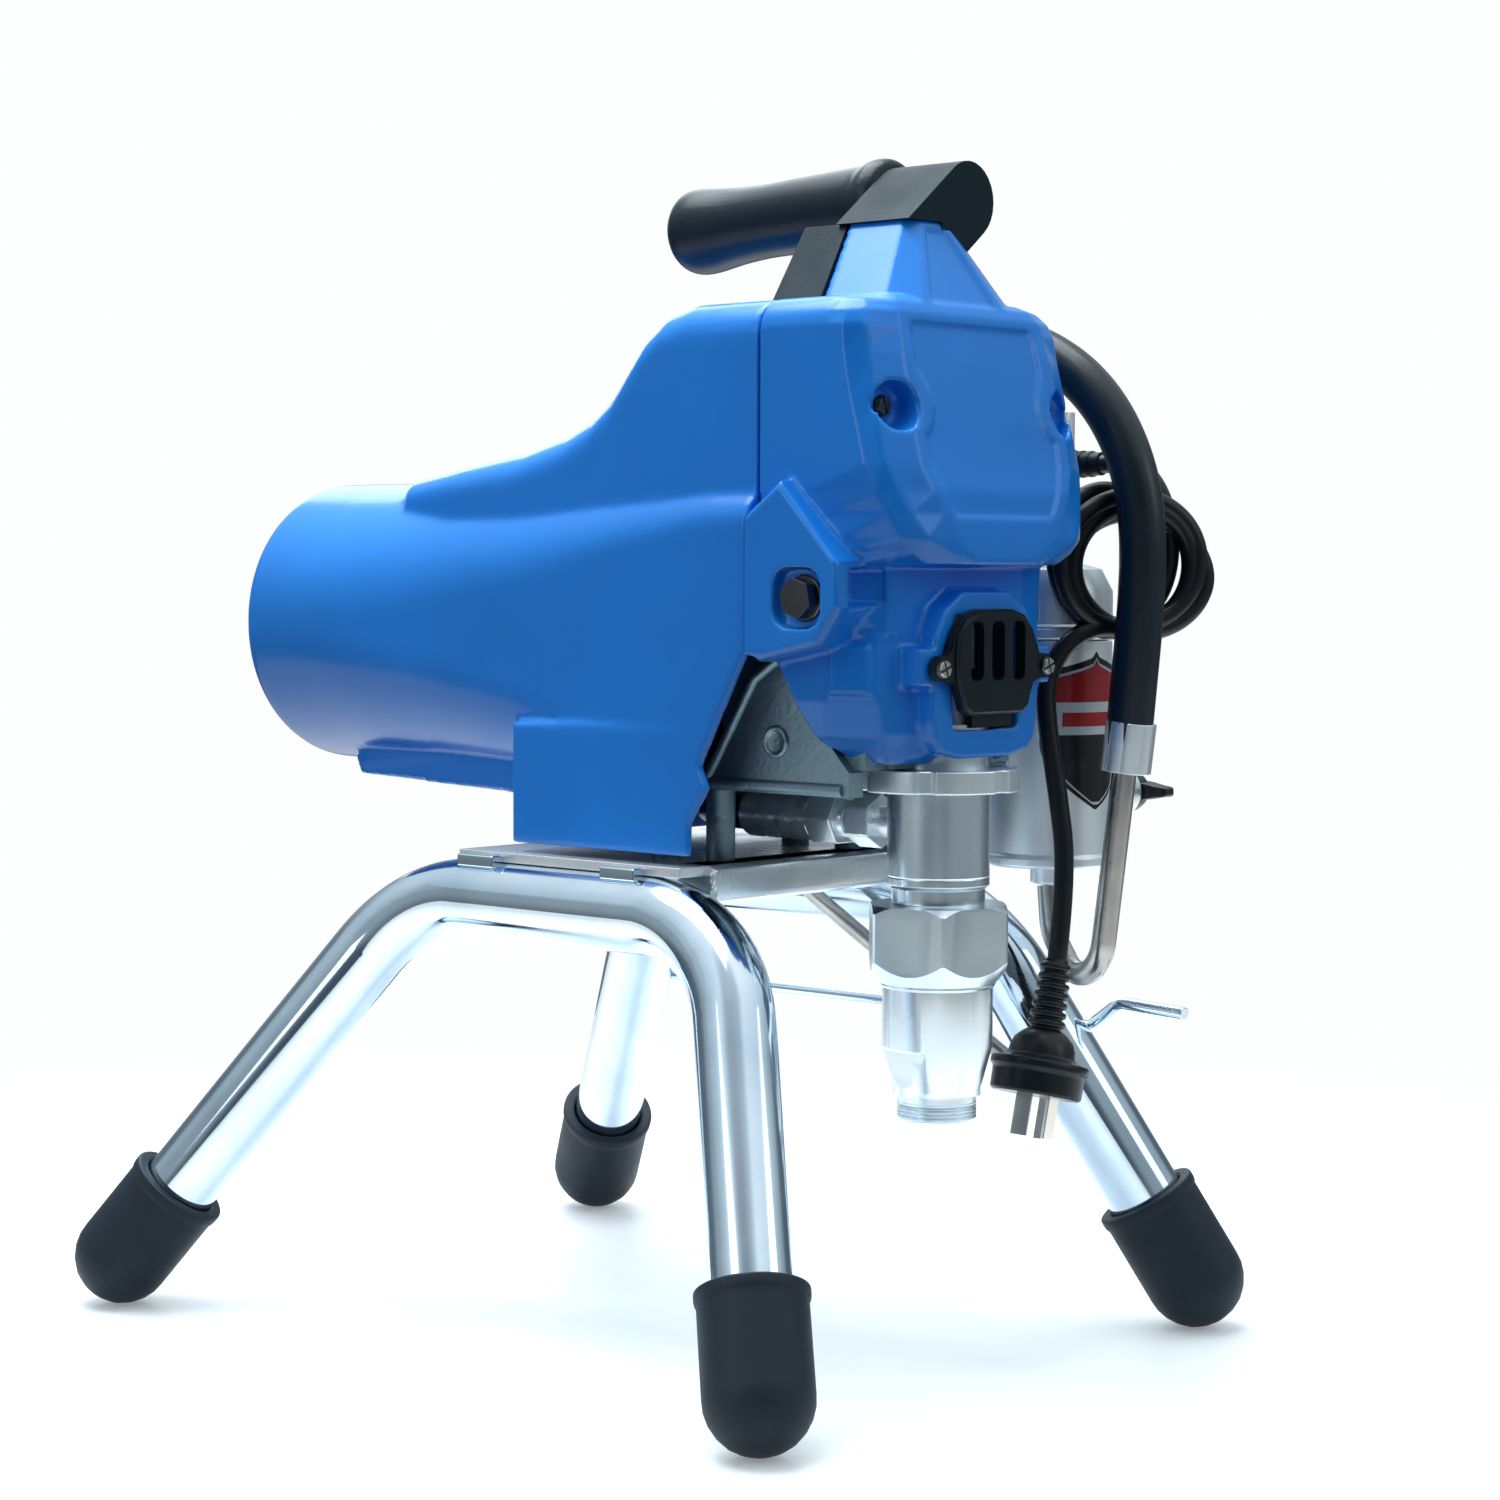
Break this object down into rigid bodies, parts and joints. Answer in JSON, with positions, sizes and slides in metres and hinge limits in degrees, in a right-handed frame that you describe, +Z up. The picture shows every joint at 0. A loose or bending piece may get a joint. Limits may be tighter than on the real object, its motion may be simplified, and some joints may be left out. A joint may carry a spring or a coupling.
{
  "type": "airless paint sprayer",
  "caption": "Electric airless paint sprayer: motor and gear case over a vertical piston pump, on a bent tube stand with handle, fluid filter, drain hose and mains cord.",
  "frame": {"origin": "on the floor, at the middle of the four feet", "axes": "+Z up, -Y towards the pump's side of the gear case, +Y towards the motor's rear end, +X towards the fluid filter"},
  "size_m": [0.3114, 0.382, 0.455],
  "materials": {
    "chrome_tube": "polished",
    "foot_rubber": "matte",
    "blue_shell": "gloss",
    "cast_housing": "cast",
    "machined_steel": "brushed",
    "zinc_steel": "zinc plated",
    "hard_steel": "hardened",
    "motor_paint": "satin",
    "filter_steel": "satin",
    "brass_gland": "satin",
    "seal_leather": "matte",
    "black_plastic": "satin",
    "grip_rubber": "satin",
    "hose_rubber": "satin",
    "cord_jacket": "satin",
    "box_aluminium": "satin",
    "badge_print": "gloss",
    "dark_fastener": "satin",
    "knob_plastic": "gloss",
    "pin_brass": "nickel"
  },
  "bodies": {
    "base": {"brace_rod": "zinc_steel", "control_board": "badge_print", "control_box": "box_aluminium", "cord_coil": "cord_jacket", "cord_gland": "black_plastic", "cover_fasteners": "dark_fastener", "crank_bearing": "hard_steel", "drain_ferrule": "zinc_steel", "drain_hose": "hose_rubber", "drain_tube": "machined_steel", "drive_housing": "cast_housing", "filter_badge": "badge_print", "filter_cap": "filter_steel", "filter_element": "machined_steel", "filter_housing": "filter_steel", "foot_cap_front_left": "foot_rubber", "foot_cap_front_right": "foot_rubber", "foot_cap_rear_left": "foot_rubber", "foot_cap_rear_right": "foot_rubber", "frame_tube_left": "chrome_tube", "frame_tube_right": "chrome_tube", "front_cover": "blue_shell", "handle_arm": "black_plastic", "handle_grip": "grip_rubber", "hook_rod": "chrome_tube", "hose_holder": "black_plastic", "intake_housing": "machined_steel", "intake_seat": "hard_steel", "jam_nut": "zinc_steel", "motor_can": "motor_paint", "motor_end_plates": "cast_housing", "motor_shroud": "blue_shell", "outlet_fittings": "zinc_steel", "packing_nut": "zinc_steel", "platform_plate": "zinc_steel", "plug_body": "cord_jacket", "plug_pins": "pin_brass", "power_cord": "cord_jacket", "pressure_sensor": "brass_gland", "prime_valve_body": "zinc_steel", "pump_cylinder": "machined_steel", "pump_guard": "black_plastic", "spray_outlet": "zinc_steel", "throat_packings": "seal_leather", "transfer_hose": "hose_rubber"},
    "rotor": {"motor_rotor": "hard_steel", "motor_pinion": "hard_steel", "cooling_fan": "black_plastic"},
    "intermediate_shaft": {"intermediate_gear": "hard_steel"},
    "crank": {"crank_gear": "hard_steel", "crankshaft": "hard_steel"},
    "piston": {"piston_rod": "machined_steel", "connecting_rod": "cast_housing", "rod_pin": "hard_steel", "piston_seals": "seal_leather"},
    "outlet_ball": {"piston_ball": "hard_steel"},
    "inlet_ball": {"intake_ball": "hard_steel"},
    "prime_lever_body": {"prime_lever": "knob_plastic"},
    "pressure_knob_body": {"pressure_knob": "knob_plastic"},
    "switch_rocker": {"power_switch": "knob_plastic"}
  },
  "joints": [
    {"name": "rotor_spin", "type": "hinge", "parent": "base", "child": "rotor", "pos_m": [0, 0.05, 0.276], "axis": [0, 1, 0], "continuous": true},
    {"name": "intermediate_spin", "type": "hinge", "parent": "base", "child": "intermediate_shaft", "pos_m": [0, -0.06, 0.3135], "axis": [0, 1, 0], "continuous": true},
    {"name": "crank_spin", "type": "hinge", "parent": "base", "child": "crank", "pos_m": [0, -0.09, 0.3495], "axis": [0, 1, 0], "continuous": true},
    {"name": "piston_stroke", "type": "slide", "parent": "base", "child": "piston", "axis": [0, 0, 1], "range_m": [0, 0.0254]},
    {"name": "outlet_ball_lift", "type": "slide", "parent": "piston", "child": "outlet_ball", "axis": [0, 0, 1], "range_m": [0, 0.003]},
    {"name": "inlet_ball_lift", "type": "slide", "parent": "base", "child": "inlet_ball", "axis": [0, 0, 1], "range_m": [0, 0.003]},
    {"name": "prime_lever_turn", "type": "hinge", "parent": "base", "child": "prime_lever_body", "pos_m": [0.13, -0.134, 0.211], "axis": [1, 0, 0], "range_deg": [0, 90]},
    {"name": "pressure_knob_turn", "type": "hinge", "parent": "base", "child": "pressure_knob_body", "pos_m": [0.125, -0.078, 0.334], "axis": [1, 0, 0], "range_deg": [0, 270]},
    {"name": "switch_rock", "type": "hinge", "parent": "base", "child": "switch_rocker", "pos_m": [0.1213, -0.102, 0.335], "axis": [0, 1, 0], "range_deg": [-8, 8]}
  ],
  "couplings": [
    {"joint": "intermediate_spin", "follows": "rotor_spin", "ratio": -0.25},
    {"joint": "crank_spin", "follows": "rotor_spin", "ratio": 0.083333}
  ]
}
